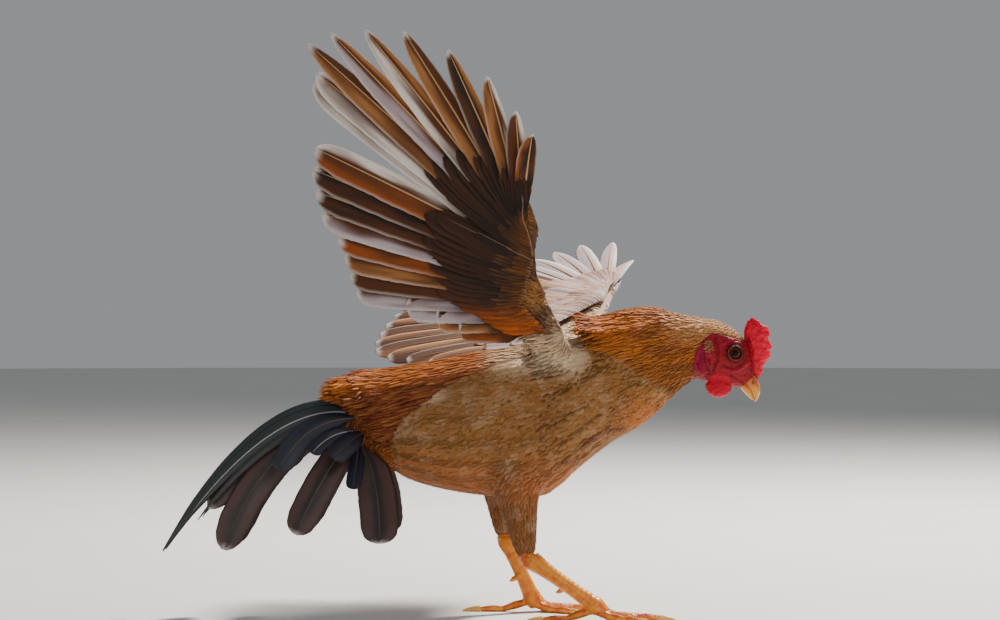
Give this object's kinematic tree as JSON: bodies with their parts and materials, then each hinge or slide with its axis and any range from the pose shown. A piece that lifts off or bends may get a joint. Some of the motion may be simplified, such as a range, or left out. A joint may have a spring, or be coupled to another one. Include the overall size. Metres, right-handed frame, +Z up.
{
  "type": "fighting bantam cockerel",
  "caption": "Life-size still model of a young fighting bantam cockerel, leaning forward with one wing raised and the other stretched away.",
  "frame": {"origin": "on the floor, at the middle of the bird's whole length and breadth", "axes": "+X the way the bird faces, +Y its left side, +Z up"},
  "size_m": [0.3558, 0.3112, 0.3377],
  "materials": {
    "body_feathers": "soft buff and salmon body feathers",
    "hackle_feathers": "golden orange hackle, slightly glossy",
    "face_skin": "bare crimson skin, fine folds",
    "comb_skin": "bright red, beaded",
    "lobe_skin": "purplish crinkled skin",
    "horn": "yellow horn, satin",
    "eye": "wet dark eye with grey-brown iris",
    "tail_feathers": "black-brown, green-blue sheen",
    "flight_feathers": "brown and tan vanes with pale tips",
    "leg_scales": "yellow-orange scales, satin",
    "claw_horn": "pale yellow horn, satin"
  },
  "bodies": {
    "root": {"beak_lower": "horn", "beak_upper": "horn", "claw_left_hind": "claw_horn", "claw_left_inner": "claw_horn", "claw_left_middle": "claw_horn", "claw_left_outer": "claw_horn", "claw_right_hind": "claw_horn", "claw_right_inner": "claw_horn", "claw_right_middle": "claw_horn", "claw_right_outer": "claw_horn", "comb": "comb_skin", "ear_left": "lobe_skin", "ear_right": "lobe_skin", "eye_left": "eye", "eye_right": "eye", "foot_left": "leg_scales", "foot_right": "leg_scales", "head": "face_skin", "neck": "hackle_feathers", "shank_left": "leg_scales", "shank_right": "leg_scales", "tail": "tail_feathers", "thigh_left": "body_feathers", "thigh_right": "body_feathers", "torso": "body_feathers", "wattle_left": "comb_skin", "wattle_right": "comb_skin", "wing_left": "flight_feathers", "wing_right": "flight_feathers"}
  },
  "joints": []
}
